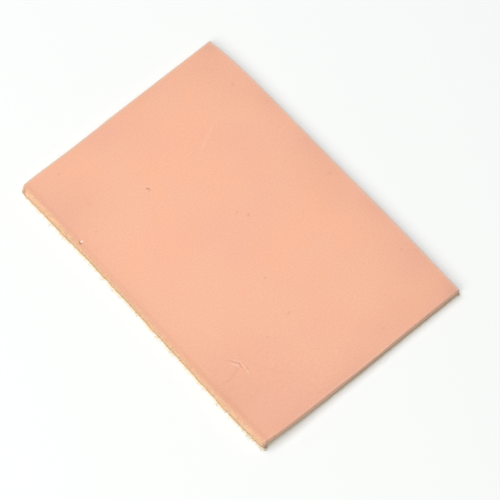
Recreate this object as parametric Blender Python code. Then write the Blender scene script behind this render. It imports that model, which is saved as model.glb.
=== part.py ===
# Tooling leather: one thick rectangular cut of vegetable-tanned leather, lying flat with its grain side up.
#
# Frame: metres, +Z up. X runs across the short way and Y along the long way. The origin is on the surface
# that the leather lies on, under the middle of the piece. The front edge faces -Y and the left edge -X.

from collections import namedtuple
from math import radians, sqrt

import bmesh
import bpy

MM = 0.001

# Driving sizes, in millimetres
WIDTH = 101.0
LENGTH = 150.0
THICKNESS = 4.0
RIM_RADIUS = 0.35

# How fast a slanted cut swings out below the rim: 1 is a straight slant, more is a fuller, rounder one
CUT_FULLNESS = 1.7

# Points along each edge, and heights up the cut as shares of the thickness
EDGE_STEPS = 36
CUT_LEVELS = (0.0, 0.2, 0.4, 0.6, 0.78, 0.91, 0.94, 0.97, 0.99, 1.0)

# The corners of the grain face, counter-clockwise from the front left. The piece was cut by hand, so each
# corner is a little off the true rectangle: that shift is in millimetres.
Corner = namedtuple("Corner", "side_x side_y shift_x shift_y")
CORNERS = (
    Corner(-1, -1, -0.20, 0.50),
    Corner(1, -1, 0.35, -0.50),
    Corner(1, 1, -0.15, 0.60),
    Corner(-1, 1, 0.15, -0.55),
)

# One table for each edge, counter-clockwise from the front one. A row is a section across the cut:
# along is its share of the way along the edge, rim and foot are how far, in millimetres, the cut stands
# out from the straight line between the corners, at the grain face and at the surface below.
Section = namedtuple("Section", "along rim foot")
FRONT_EDGE = (
    Section(0.00, 0.00, 0.90),
    Section(0.05, 0.42, 0.98),
    Section(0.12, 0.68, 0.92),
    Section(0.30, 0.80, 0.90),
    Section(0.50, 0.72, 0.72),
    Section(0.72, 0.34, 0.40),
    Section(0.88, 0.12, 0.20),
    Section(1.00, 0.00, 0.20),
)
RIGHT_EDGE = (
    Section(0.00, 0.00, 0.15),
    Section(0.08, 0.30, 0.42),
    Section(0.16, 0.58, 0.68),
    Section(0.34, 1.10, 1.20),
    Section(0.50, 1.30, 1.38),
    Section(0.70, 1.38, 1.45),
    Section(0.84, 1.30, 1.36),
    Section(0.93, 0.92, 1.00),
    Section(1.00, 0.00, 0.10),
)
BACK_EDGE = (
    Section(0.00, 0.00, -0.05),
    Section(0.25, 0.12, 0.05),
    Section(0.50, 0.08, 0.00),
    Section(0.75, 0.10, -0.05),
    Section(1.00, 0.00, -0.40),
)
LEFT_EDGE = (
    Section(0.00, -0.70, 1.00),
    Section(0.06, -0.75, 1.20),
    Section(0.13, -0.70, 1.35),
    Section(0.28, -0.20, 1.02),
    Section(0.38, -0.05, 1.08),
    Section(0.53, 0.05, 1.45),
    Section(0.73, 0.60, 1.90),
    Section(0.86, 0.50, 2.15),
    Section(1.00, 0.00, 1.60),
)
EDGES = (FRONT_EDGE, RIGHT_EDGE, BACK_EDGE, LEFT_EDGE)

# Natural vegetable-tanned leather: pale pinkish tan, with a soft low gloss
LEATHER_COLOUR = (0.88, 0.47, 0.32, 1.0)
LEATHER_ROUGHNESS = 0.62

# Faces that meet at more than this many degrees keep a crisp edge
CRISP_ANGLE = 30.0


def clear_scene():
    for thing in list(bpy.data.objects):
        bpy.data.objects.remove(thing, do_unlink=True)


def row_slope(rows, index, column):
    # Slope of a column at a row, from the rows on both sides of it, or from the one side that there is
    before = rows[max(index - 1, 0)]
    after = rows[min(index + 1, len(rows) - 1)]
    rise = getattr(after, column) - getattr(before, column)
    return rise / (after.along - before.along)


def read_edge(rows, along, column):
    # A smooth curve through the rows: between two rows it is the cubic with their values and slopes
    index = max(i for i in range(len(rows) - 1) if rows[i].along <= along)
    here = rows[index]
    there = rows[index + 1]
    span = there.along - here.along
    t = (along - here.along) / span
    start = getattr(here, column)
    end = getattr(there, column)
    start_slope = row_slope(rows, index, column) * span
    end_slope = row_slope(rows, index + 1, column) * span
    return (
        start * (2 * t**3 - 3 * t**2 + 1)
        + start_slope * (t**3 - 2 * t**2 + t)
        + end * (3 * t**2 - 2 * t**3)
        + end_slope * (t**3 - t**2)
    )


def rim_inset(level):
    # The grain rim is a quarter round: how far it has drawn in at this share of the thickness
    below_top = THICKNESS * (1.0 - level)
    if below_top >= RIM_RADIUS:
        return 0.0
    rise = RIM_RADIUS - below_top
    return RIM_RADIUS - sqrt(RIM_RADIUS**2 - rise**2)


def stand_out(edge, along, level):
    # How far the cut stands out from the corner line, at a place along the edge and a share of the thickness
    rim = read_edge(edge, along, "rim")
    foot = read_edge(edge, along, "foot")
    swing = 1.0 - level**CUT_FULLNESS
    return rim + (foot - rim) * swing - rim_inset(level)


def corner_point(index):
    corner = CORNERS[index % len(CORNERS)]
    x = corner.side_x * WIDTH / 2 + corner.shift_x
    y = corner.side_y * LENGTH / 2 + corner.shift_y
    return x, y


def outline(level):
    # The outline of the leather at a share of its thickness, counter-clockwise, in millimetres
    ring = []
    for index, edge in enumerate(EDGES):
        start_x, start_y = corner_point(index)
        end_x, end_y = corner_point(index + 1)
        run_x = end_x - start_x
        run_y = end_y - start_y
        run = sqrt(run_x**2 + run_y**2)
        ahead_x = run_x / run
        ahead_y = run_y / run
        # The edges before and after pull this edge's ends along it by what they stand out at the corner
        pull_start = -stand_out(EDGES[index - 1], 1.0, level)
        pull_end = stand_out(EDGES[(index + 1) % len(EDGES)], 0.0, level)
        for step in range(EDGE_STEPS):
            along = step / EDGE_STEPS
            travel = pull_start + (run + pull_end - pull_start) * along
            out = stand_out(edge, along, level)
            ring.append((start_x + ahead_x * travel + ahead_y * out, start_y + ahead_y * travel - ahead_x * out))
    return ring


def centre_of(rings):
    # The middle of the box around all the outlines
    xs = [x for ring in rings for x, y in ring]
    ys = [y for ring in rings for x, y in ring]
    return (min(xs) + max(xs)) / 2, (min(ys) + max(ys)) / 2


def make_leather_material():
    material = bpy.data.materials.new("vegetable_tanned_leather")
    material.use_nodes = True
    shader = material.node_tree.nodes["Principled BSDF"]
    shader.inputs["Base Color"].default_value = LEATHER_COLOUR
    shader.inputs["Roughness"].default_value = LEATHER_ROUGHNESS
    shader.inputs["Metallic"].default_value = 0.0
    return material


def build_leather_panel():
    rings = [outline(level) for level in CUT_LEVELS]
    middle_x, middle_y = centre_of(rings)
    bm = bmesh.new()
    ring_edges = []
    for level, ring in zip(CUT_LEVELS, rings):
        height = THICKNESS * level * MM
        verts = [bm.verts.new(((x - middle_x) * MM, (y - middle_y) * MM, height)) for x, y in ring]
        ring_edges.append([bm.edges.new((verts[i - 1], verts[i])) for i in range(len(verts))])
    for lower, upper in zip(ring_edges, ring_edges[1:]):
        bmesh.ops.bridge_loops(bm, edges=lower + upper)
    bmesh.ops.contextual_create(bm, geom=ring_edges[0])
    bmesh.ops.contextual_create(bm, geom=ring_edges[-1])
    bmesh.ops.recalc_face_normals(bm, faces=bm.faces)
    mesh = bpy.data.meshes.new("leather_panel")
    bm.to_mesh(mesh)
    bm.free()
    mesh.shade_smooth()
    mesh.set_sharp_from_angle(angle=radians(CRISP_ANGLE))
    mesh.materials.append(make_leather_material())
    panel = bpy.data.objects.new("leather_panel", mesh)
    bpy.context.scene.collection.objects.link(panel)
    return panel


clear_scene()
build_leather_panel()
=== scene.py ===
from math import cos, pi, radians, sin

import bpy
import numpy as np
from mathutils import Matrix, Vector


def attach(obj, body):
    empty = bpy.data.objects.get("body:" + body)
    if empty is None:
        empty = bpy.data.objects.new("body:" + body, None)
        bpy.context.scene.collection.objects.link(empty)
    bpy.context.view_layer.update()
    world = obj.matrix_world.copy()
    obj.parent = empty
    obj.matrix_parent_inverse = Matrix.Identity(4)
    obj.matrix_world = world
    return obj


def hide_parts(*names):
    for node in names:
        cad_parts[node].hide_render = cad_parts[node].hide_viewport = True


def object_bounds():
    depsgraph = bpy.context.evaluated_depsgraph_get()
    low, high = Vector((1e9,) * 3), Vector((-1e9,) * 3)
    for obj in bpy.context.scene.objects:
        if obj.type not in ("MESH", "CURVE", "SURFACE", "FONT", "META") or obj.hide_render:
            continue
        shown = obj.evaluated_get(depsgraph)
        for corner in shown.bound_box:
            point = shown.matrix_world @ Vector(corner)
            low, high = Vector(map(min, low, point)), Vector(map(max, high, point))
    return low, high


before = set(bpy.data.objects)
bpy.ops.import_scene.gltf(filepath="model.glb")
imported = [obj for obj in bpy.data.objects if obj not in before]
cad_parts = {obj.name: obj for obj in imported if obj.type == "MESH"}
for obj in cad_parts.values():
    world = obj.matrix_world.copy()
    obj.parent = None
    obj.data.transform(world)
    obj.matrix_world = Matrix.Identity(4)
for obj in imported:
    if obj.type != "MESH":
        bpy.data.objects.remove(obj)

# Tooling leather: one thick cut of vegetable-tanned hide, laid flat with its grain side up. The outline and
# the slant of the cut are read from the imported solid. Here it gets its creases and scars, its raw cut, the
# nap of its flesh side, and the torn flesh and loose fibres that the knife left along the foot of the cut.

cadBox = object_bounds()
mm = 0.001
print("frame loaded: box", [round(v / mm, 2) for corner in cadBox for v in corner], "mm")


# Helpers for shapes

def ease(value, start, end):
    # 0 up to start, 1 from end on, and 3t^2 - 2t^3 between them
    t = np.clip((value - start) / (end - start), 0.0, 1.0)
    return t * t * (3.0 - 2.0 * t)


def latticeNoise(points, cell, seed):
    # Random numbers from -1 to 1 on a lattice, blended between its corners by 3t^2 - 2t^3.
    # points is (..., 3), and cell is the lattice's spacing along X, Y and Z, in metres.
    size = 64
    table = np.random.default_rng(seed).uniform(-1.0, 1.0, (size, size, size))
    place = points / np.asarray(cell)
    low = np.floor(place).astype(int)
    t = place - low
    t = t * t * (3.0 - 2.0 * t)
    total = np.zeros(points.shape[:-1])
    for corner in np.ndindex(2, 2, 2):
        index = (low + corner) % size
        weight = np.prod(np.where(corner, t, 1.0 - t), axis=-1)
        total += weight * table[index[..., 0], index[..., 1], index[..., 2]]
    return total


def flatNoise(points, rows, base=0.0):
    # The base and, for each row, its strength times lattice noise of its size along X and Y, in mm. It
    # doesn't change with height.
    flat = np.concatenate([points[..., :2], np.zeros(points.shape[:-1] + (1,))], axis=-1)
    total = np.full(flat.shape[:-1], base)
    for strength, sizeX, sizeY, seed in rows:
        total += strength * latticeNoise(flat, (sizeX * mm, sizeY * mm, mm), seed)
    return total


def outwardOf(loops):
    # The unit direction that faces outwards at each point of loops that run counter-clockwise
    ahead = np.roll(loops, -1, axis=1) - np.roll(loops, 1, axis=1)
    outward = np.stack([ahead[..., 1], -ahead[..., 0]], axis=-1)
    return outward / np.linalg.norm(outward, axis=-1, keepdims=True)


def gradedLines(length, coarse, fine, spans):
    # Places along a side from 0 to 1. The step between them is coarse, and fine inside the spans.
    # The step's inverse is summed along the side, and that sum is cut into equal shares.
    at = np.linspace(0.0, length, 4001)
    step = np.full(len(at), coarse)
    for start, end in spans:
        inside = ease(at, start - 3 * coarse, start) * (1.0 - ease(at, end, end + 3 * coarse))
        step = np.minimum(step, coarse + (fine - coarse) * inside)
    lines = np.concatenate([[0.0], np.cumsum(np.diff(at) / step[1:])])
    count = int(np.ceil(lines[-1]))
    return np.interp(np.linspace(0.0, lines[-1], count + 1), lines, at) / length


def gridQuads(rows, columns, first):
    # Faces of a grid of points that are numbered row by row, turned counter-clockwise
    corner = first + np.arange(rows - 1)[:, None] * columns + np.arange(columns - 1)[None, :]
    corner = corner.ravel()
    return np.stack([corner, corner + 1, corner + columns + 1, corner + columns], axis=1)


def zipLoops(outer, outerAlong, inner, innerAlong):
    # Triangles between two closed loops with different numbers of points. Both run counter-clockwise from
    # one corner, and along says how far each point is. The steps of both loops are sorted by their middles,
    # and each step makes one triangle with the point that the other loop has come to.
    def middles(along):
        return (along + np.append(along[1:], 4.0)) / 2

    order = np.argsort(np.concatenate([middles(outerAlong), middles(innerAlong)]), kind="stable")
    isOuter = order < len(outer)
    atOuter = np.concatenate([[0], np.cumsum(isOuter)[:-1]])
    atInner = np.concatenate([[0], np.cumsum(~isOuter)[:-1]])
    a = outer[atOuter % len(outer)]
    b = inner[atInner % len(inner)]
    nextA = outer[(atOuter + 1) % len(outer)]
    nextB = inner[(atInner + 1) % len(inner)]
    return np.stack([a, np.where(isOuter, nextA, nextB), b], axis=1)


def makePiece(name, points, quads, triangles, materials, slots, values, places):
    # One object from arrays. values are numbers on the points, by name. places are the corners' spots on the
    # bake's map, named OFBake.
    corners = np.concatenate([quads.ravel(), triangles.ravel()])
    starts = np.concatenate([np.arange(len(quads)) * 4, quads.size + np.arange(len(triangles)) * 3])
    mesh = bpy.data.meshes.new(name)
    mesh.vertices.add(len(points))
    mesh.vertices.foreach_set("co", points.astype(np.float32).ravel())
    mesh.loops.add(len(corners))
    mesh.loops.foreach_set("vertex_index", corners.astype(np.int32))
    mesh.polygons.add(len(starts))
    mesh.polygons.foreach_set("loop_start", starts.astype(np.int32))
    mesh.polygons.foreach_set("material_index", slots.astype(np.int32))
    for key, value in values.items():
        layer = mesh.attributes.new(key, "FLOAT", "POINT")
        layer.data.foreach_set("value", value.astype(np.float32).ravel())
    if places is not None:
        layer = mesh.uv_layers.new(name="OFBake")
        layer.uv.foreach_set("vector", places.astype(np.float32).ravel())
    for material in materials:
        mesh.materials.append(material)
    mesh.update(calc_edges=True)
    mesh.validate()
    mesh.shade_smooth()
    piece = bpy.data.objects.new(name, mesh)
    bpy.context.scene.collection.objects.link(piece)
    return piece


# Helpers for materials

def hexColour(code):
    # An sRGB hex colour turned linear: c / 12.92 for the darkest tones, ((c + 0.055) / 1.055)^2.4 above them
    shares = [int(code[i:i + 2], 16) / 255 for i in (0, 2, 4)]
    return tuple(c / 12.92 if c <= 0.04045 else ((c + 0.055) / 1.055) ** 2.4 for c in shares) + (1.0,)


def addNode(tree, kind, inputs, **settings):
    # Adds a node with its settings, and gives each named input its value or its link
    node = tree.nodes.new(kind)
    for key, value in settings.items():
        setattr(node, key, value)
    for key, value in inputs.items():
        if isinstance(value, bpy.types.NodeSocket):
            tree.links.new(value, node.inputs[key])
        else:
            node.inputs[key].default_value = value
    return node


def newMaterial(name):
    material = bpy.data.materials.new(name)
    material.use_nodes = True
    return material, material.node_tree, material.node_tree.nodes["Principled BSDF"]


# The camera: a long lens from above the front left corner

camera = {
    "lens": 288.0,             # mm, on a 36 mm sensor
    "azimuth": -131.073,       # degrees from +X to where the camera stands
    "elevation": 63.687,       # degrees above the table
    "distance": 1603.4 * mm,
    "aim": (1.307 * mm, -6.154 * mm, 0.0),
}


def makeCamera(c):
    data = bpy.data.cameras.new("camera")
    data.lens = c["lens"]
    data.sensor_width = 36.0
    data.clip_start = 0.1
    data.clip_end = 20.0
    eye = bpy.data.objects.new("camera", data)
    azimuth = radians(c["azimuth"])
    elevation = radians(c["elevation"])
    back = Vector((cos(elevation) * cos(azimuth), cos(elevation) * sin(azimuth), sin(elevation)))
    eye.location = Vector(c["aim"]) + back * c["distance"]
    eye.rotation_euler = back.to_track_quat("Z", "Y").to_euler()
    bpy.context.scene.collection.objects.link(eye)
    bpy.context.scene.camera = eye


makeCamera(camera)
print("camera set")


# The leather

leather = {
    "outlineSteps": 60,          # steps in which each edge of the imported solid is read
    "grainStep": 1.0 * mm,       # spacing of the grain face's grid away from its marks
    "markStep": 0.17 * mm,       # and around them
    "markSpansX": [(-50.2, -47.2), (-41.5, -33.6), (-14.2, -11.8)],   # mm from the middle
    "markSpansY": [(-48.6, -37.4), (37.9, 41.2)],
    "fleshStep": 1.6 * mm,
    "stations": (440, 400, 300, 960),        # points round the cut, edge by edge from the front one
    # Rings round the cut, as shares of the thickness, from the foot up to the rim
    "wallLevels": (0.0, 0.006, 0.0085, 0.03, 0.07, 0.12, 0.20, 0.31, 0.45, 0.60, 0.73, 0.84, 0.91, 0.94,
                   0.97, 0.99, 1.0),
    "shoulder": (0.14 * mm, 0.32 * mm, 0.56 * mm),   # rings on the grain face, in from the rim
    "cornerReach": 1.4,          # stations over which a corner is rounded
    "inset": 0.85 * mm,          # how far inside the rim the grids of both faces start
    # Where the knife wandered from the solid's smooth outline: the place along it (0 to 1 is the front edge
    # from the left, 1 to 2 the right, 2 to 3 the back, 3 to 4 the left), then mm outwards at rim and foot
    "wander": [(0.00, 0.12, -0.35), (0.01, 0.14, -0.75), (0.05, 0.12, -0.68), (0.12, 0.10, -0.36),
               (0.20, 0.08, -0.06), (0.36, 0.00, 0.00), (0.43, 0.14, -0.05), (0.59, 0.16, -0.08),
               (0.66, 0.02, -0.04), (0.85, 0.00, -0.04), (0.93, 0.03, -0.10), (0.98, 0.09, -0.30),
               (1.01, 0.12, -0.05), (1.04, 0.12, 0.06), (1.15, 0.12, 0.12), (1.30, 0.06, 0.06),
               (1.40, -0.06, -0.06), (1.47, -0.16, -0.16),
               (1.60, -0.12, -0.12), (1.70, 0.00, 0.00), (1.85, 0.12, 0.12), (1.95, 0.05, 0.05),
               (2.03, -0.14, -0.10), (2.27, -0.18, -0.18), (2.46, -0.10, -0.10), (2.56, -0.10, -0.10),
               (2.62, -0.24, -0.24), (2.68, -0.27, -0.27), (2.76, -0.27, -0.27), (2.82, -0.15, -0.15),
               (2.88, -0.04, -0.04), (2.95, 0.14, 0.10), (3.03, 0.04, 0.04), (3.09, 0.00, -0.31),
               (3.19, 0.00, -0.27), (3.25, 0.00, -0.50), (3.32, 0.00, -0.30), (3.45, 0.00, -0.36),
               (3.51, 0.00, -0.40), (3.58, 0.00, -0.28), (3.65, 0.00, -0.24), (3.69, 0.00, -0.32),
               (3.75, 0.00, -0.16), (3.79, 0.02, -0.26), (3.86, 0.04, -0.06), (3.94, 0.08, 0.04),
               (4.00, 0.12, 0.00)],
    # Where a corner has curled off the table: x and y of the place, its reach and its lift in mm, and how
    # far each mm of lift swings the leather out along X and Y
    "curl": (-51.0, -76.0, 30.0, 1.00, -0.325, -0.373),
    "fringeHeld": 0.9,           # share of that lift that the torn flesh is held back from
    "grainLevel": 0.94,          # share of the thickness above which the cut is rounded grain
    "rimLevel": 0.92,            # the last outline below this share lies where the rim starts to round over
    # The slow relief of both faces as rows for flatNoise: height and size along X and Y in mm, and seed. The
    # hide never lies quite flat, and the flesh side is uneven where it was split.
    "grainSwell": [(0.030, 31, 27, 11), (0.010, 9, 8, 12)],
    "fleshSwell": [(0.05, 6, 6, 31), (0.03, 1.9, 2.6, 32)],
    "napHeight": 0.08,           # mm, how far the nap keeps the middle of the flesh side off the table
}

thickness = cadBox[1].z


def readOutlines(node, steps):
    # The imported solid's vertices, grouped by height. Each group is put in order by its angle round the
    # middle, from the front left corner on, counter-clockwise. Each of its four edges is then walked in
    # equal steps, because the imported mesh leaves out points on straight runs.
    mesh = node.data
    points = np.empty(len(mesh.vertices) * 3)
    mesh.vertices.foreach_get("co", points)
    points = np.unique(np.round(points.reshape(-1, 3), 7), axis=0)
    heights = np.unique(np.round(points[:, 2], 5))
    half = np.array([cadBox[1].x, cadBox[1].y])
    sides = np.array([(-1, -1), (1, -1), (1, 1), (-1, 1)])
    share = np.arange(steps) / steps
    outlines = []
    for height in heights:
        ring = points[np.abs(points[:, 2] - height) < 0.01 * mm, :2]
        ring = ring[np.argsort(np.arctan2(ring[:, 1], ring[:, 0]))]
        corners = np.argmax((ring / half) @ sides.T, axis=0)
        ring = np.roll(ring, -corners[0], axis=0)
        corners = np.append((corners - corners[0]) % len(ring), len(ring))
        closed = np.vstack([ring, ring[:1]])
        for start, end in zip(corners, corners[1:]):
            run = closed[start:end + 1]
            far = np.append(0.0, np.cumsum(np.hypot(*np.diff(run, axis=0).T)))
            even = [np.interp(share * far[-1], far, run[:, axis]) for axis in (0, 1)]
            outlines.append(np.stack(even, axis=-1))
    return heights, np.array(outlines).reshape(len(heights), -1, 2)


def walkOutline(outline, along):
    # The point at a place along an outline: 0 to 1 is the front edge from the left, 1 to 2 the right edge,
    # 2 to 3 the back and 3 to 4 the left. It runs straight between the solid's own points.
    closed = np.vstack([outline, outline[:1]])
    places = np.linspace(0.0, 4.0, len(closed))
    return np.stack([np.interp(along, places, closed[:, axis]) for axis in (0, 1)], axis=-1)


def roundCorners(loops, reach):
    # Each loop is averaged along itself with the bell-shaped weight e^-(k / reach)^2
    shifts = np.arange(-4, 5)
    weights = np.exp(-((shifts / reach) ** 2))
    return sum(w * np.roll(loops, k, axis=-2) for w, k in zip(weights, shifts)) / weights.sum()


def trimOutlines(heights, outlines, rows):
    # Every outline is shifted outwards by what the rows say, blended from rim to foot by 1 - (z / top)^1.7
    place, rim, foot = np.array(rows).T
    along = np.linspace(0.0, 4.0, outlines.shape[1], endpoint=False)
    low = (1.0 - (heights / heights[-1]) ** 1.7)[:, None]
    shift = np.interp(along, place, rim) * (1.0 - low) + np.interp(along, place, foot) * low
    return outlines + outwardOf(outlines) * shift[..., None] * mm


def loopsAt(heights, outlines, along, z):
    # Loops round the leather at the heights z, each blended from the outlines just below and above it
    loops = np.stack([walkOutline(outline, along) for outline in outlines])
    below = np.clip(np.searchsorted(heights, z, side="right") - 1, 0, len(heights) - 2)
    share = ((z - heights[below]) / (heights[below + 1] - heights[below]))[:, None, None]
    return roundCorners(loops[below] * (1.0 - share) + loops[below + 1] * share, leather["cornerReach"])


# Creases and scars on the grain face. Each row of a route is x, y, depth and half width, all in millimetres.
# A depth under zero is a raised ridge. rise is how high the leather is pushed up beside the line, as a share
# of the depth, and dark and pale are how strongly painted shade darkens the bottom and painted highlight
# lightens the raised side.
marks = {
    "growthWrinkle": {
        "route": [(-39.8, -37.4, 0.02, 0.28), (-37.9, -38.9, 0.05, 0.26), (-37.5, -39.6, 0.09, 0.26),
                  (-37.2, -40.5, 0.12, 0.28), (-36.5, -41.5, 0.13, 0.30), (-35.7, -42.3, 0.13, 0.30),
                  (-35.8, -42.9, 0.13, 0.28), (-36.2, -43.6, 0.12, 0.28), (-36.2, -44.4, 0.10, 0.28),
                  (-36.1, -45.0, 0.03, 0.26)],
        "rise": 0.15, "dark": 0.26, "pale": 0.06,
    },
    "wrinkleShelf": {
        "route": [(-38.3, -40.5, -0.02, 0.30), (-37.5, -41.7, -0.05, 0.35), (-36.7, -43.2, -0.05, 0.32)],
        "rise": 0.0, "dark": 0.0, "pale": 0.15,
    },
    "wrinkleBrow": {
        "route": [(-36.8, -39.9, -0.01, 0.35), (-35.2, -41.8, -0.03, 0.40)],
        "rise": 0.0, "dark": 0.0, "pale": 0.10,
    },
    "wrinkleFoot": {
        "route": [(-38.6, -41.4, 0.02, 0.22), (-37.7, -42.8, 0.05, 0.22), (-37.4, -43.3, 0.02, 0.22)],
        "rise": 0.2, "dark": 0.15, "pale": 0.10,
    },
    "wrinkleBranch": {
        "route": [(-34.5, -44.3, 0.01, 0.20), (-34.4, -44.8, 0.06, 0.22), (-34.5, -45.4, 0.02, 0.20),
                  (-34.7, -46.4, 0.13, 0.28), (-35.0, -46.8, 0.03, 0.24)],
        "rise": 0.2, "dark": 0.38, "pale": 0.06,
    },
    "wrinkleRidge": {
        "route": [(-35.0, -42.9, -0.02, 0.25), (-35.3, -44.1, -0.03, 0.30), (-35.3, -45.2, -0.05, 0.36),
                  (-35.1, -45.9, -0.03, 0.30)],
        "rise": 0.0, "dark": 0.0, "pale": 0.14,
    },
    "wrinkleBulge": {
        "route": [(-35.3, -46.7, -0.04, 0.40), (-35.7, -47.5, -0.07, 0.48), (-36.1, -48.3, -0.03, 0.45)],
        "rise": 0.0, "dark": 0.0, "pale": 0.20,
    },
    "pressedDent": {
        "route": [(-37.9, -43.9, 0.05, 0.75), (-39.6, -44.5, 0.035, 0.50), (-41.2, -45.1, 0.035, 0.40),
                  (-42.5, -45.4, 0.045, 0.40), (-44.0, -45.5, 0.045, 0.45), (-45.6, -45.3, 0.03, 0.50),
                  (-47.2, -44.8, 0.01, 0.60)],
        "rise": 0.15, "dark": 0.11, "pale": 0.0,
    },
    "foldLine": {
        "route": [(-35.2, -48.3, 0.0, 0.6), (-29.9, -51.2, 0.01, 0.7), (-25.1, -57.7, 0.01, 0.7),
                  (-21.2, -65.2, 0.0, 0.7)],
        "rise": 0.0, "dark": 0.03, "pale": 0.0,
    },
    "growthLine": {
        "route": [(-38.2, -16.8, 0.0, 0.6), (-35.4, -26.3, -0.01, 0.7), (-31.6, -37.0, 0.0, 0.6)],
        "rise": 0.0, "dark": 0.0, "pale": 0.05,
    },
    "knifeNick": {
        "route": [(-13.42, 40.65, 0.16, 0.15), (-12.90, 40.26, 0.34, 0.20), (-12.50, 39.80, 0.10, 0.16),
                  (-12.4, 39.3, 0.04, 0.22), (-12.6, 38.8, 0.03, 0.25)],
        "rise": 0.3, "dark": 1.3, "pale": 0.2,
    },
    "faintScratch": {
        "route": [(28.7, 47.0, 0.0, 0.35), (24.4, 44.1, -0.02, 0.40), (19.8, 42.0, -0.02, 0.40),
                  (15.9, 39.9, -0.02, 0.40), (12.0, 37.8, 0.0, 0.35)],
        "rise": 0.0, "dark": 0.0, "pale": 0.10,
    },
}

# Round marks: x, y, radius and depth in millimetres, then dark and pale as above, painted shade and painted
# highlight. The first three are a scar at the left edge with painted shade in its hollow and a lifted side
# that is pale partly from exposed fibre and partly from a painted highlight, and the fourth lies beside the
# nick and darkens it with painted shade. Then come single deep pores darkened by painted shade, and last two
# that are filled and pale.
pits = [
    (-48.95, 39.85, 0.36, 0.16, 0.75, 0.0),
    (-49.10, 39.15, 0.42, 0.20, 0.95, 0.0),
    (-48.35, 39.4, 0.44, -0.10, 0.0, 1.9),
    (-12.80, 39.45, 0.45, 0.05, 0.30, 0.0),
    (-6.4, -38.8, 0.40, 0.10, 0.38, 0.0),
    (9.7, 4.4, 0.30, 0.08, 0.27, 0.0),
    (45.8, -47.3, 0.30, 0.08, 0.25, 0.0),
    (-3.1, -21.2, 0.30, 0.08, 0.20, 0.0),
    (-19.6, -41.2, 0.30, 0.08, 0.42, 0.0),
    (-35.9, 68.7, 0.30, 0.08, 0.21, 0.0),
    (-34.9, 50.5, 0.40, 0.08, 0.32, 0.0),
    (47.2, -3.0, 0.30, 0.08, 0.22, 0.0),
    (7.3, 8.3, 0.30, 0.08, 0.16, 0.0),
    (44.1, 53.8, 0.30, 0.08, 0.17, 0.0),
    (17.1, -68.5, 0.30, 0.08, 0.14, 0.0),
    (-46.7, 38.1, 0.30, 0.06, 0.24, 0.0),
    (-40.9, 39.0, 0.30, 0.06, 0.17, 0.0),
    (-46.1, 32.8, 0.30, 0.06, 0.36, 0.0),
    (-35.5, 36.7, 0.30, -0.03, 0.0, 0.22),
    (-3.6, -63.8, 0.30, -0.03, 0.0, 0.17),
]


def creaseField(x, y, mark):
    # How deep a crease cuts at x, y, and how much painted shade and painted highlight it gets there. For
    # each straight stretch of its route the nearest point gives the distance d, the depth and the half width
    # w. The trough is e^-(d / w)^2, and the leather beside it rises by e^-((d - 2w) / w)^2. The painted
    # shade lies in the trough and the painted highlight on the raised side beside it; a mark without shade
    # has its highlight in the trough itself.
    route = np.array(mark["route"])
    best = np.full(x.shape, np.inf)
    depth = np.zeros(x.shape)
    width = np.full(x.shape, 1.0)
    for start, end in zip(route, route[1:]):
        run = end[:2] - start[:2]
        t = np.clip(((x - start[0]) * run[0] + (y - start[1]) * run[1]) / (run @ run), 0.0, 1.0)
        distance = np.hypot(x - start[0] - t * run[0], y - start[1] - t * run[1])
        nearer = distance < best
        best = np.where(nearer, distance, best)
        depth = np.where(nearer, start[2] + t * (end[2] - start[2]), depth)
        width = np.where(nearer, start[3] + t * (end[3] - start[3]), width)
    trough = np.exp(-((best / width) ** 2))
    beside = np.exp(-(((best - 2 * width) / width) ** 2))
    deepest = np.abs(route[:, 2]).max()
    strength = np.abs(depth) / deepest
    relief = depth * (mark["rise"] * beside - trough)
    litSide = beside if mark["dark"] else trough
    return relief, mark["dark"] * strength * trough, mark["pale"] * strength * litSide


def grainRelief(x, y):
    # Height that the grain face adds at x, y, in metres, and how much painted shade and painted highlight
    # its
    # marks get there: the slow swell, then every crease, and every pit as a bowl e^-(distance / radius)^2
    relief = flatNoise(np.stack([x, y], axis=-1), leather["grainSwell"])
    dark = np.zeros(x.shape)
    pale = np.zeros(x.shape)
    for mark in marks.values():
        height, shade, light = creaseField(x / mm, y / mm, mark)
        relief += height
        dark += shade
        pale += light
    for pitX, pitY, radius, depth, shade, light in pits:
        bowl = np.exp(-(((x / mm - pitX) ** 2 + (y / mm - pitY) ** 2) / radius ** 2))
        relief -= depth * bowl
        dark += shade * bowl
        pale += light * bowl
    return relief * mm, dark, pale


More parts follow.
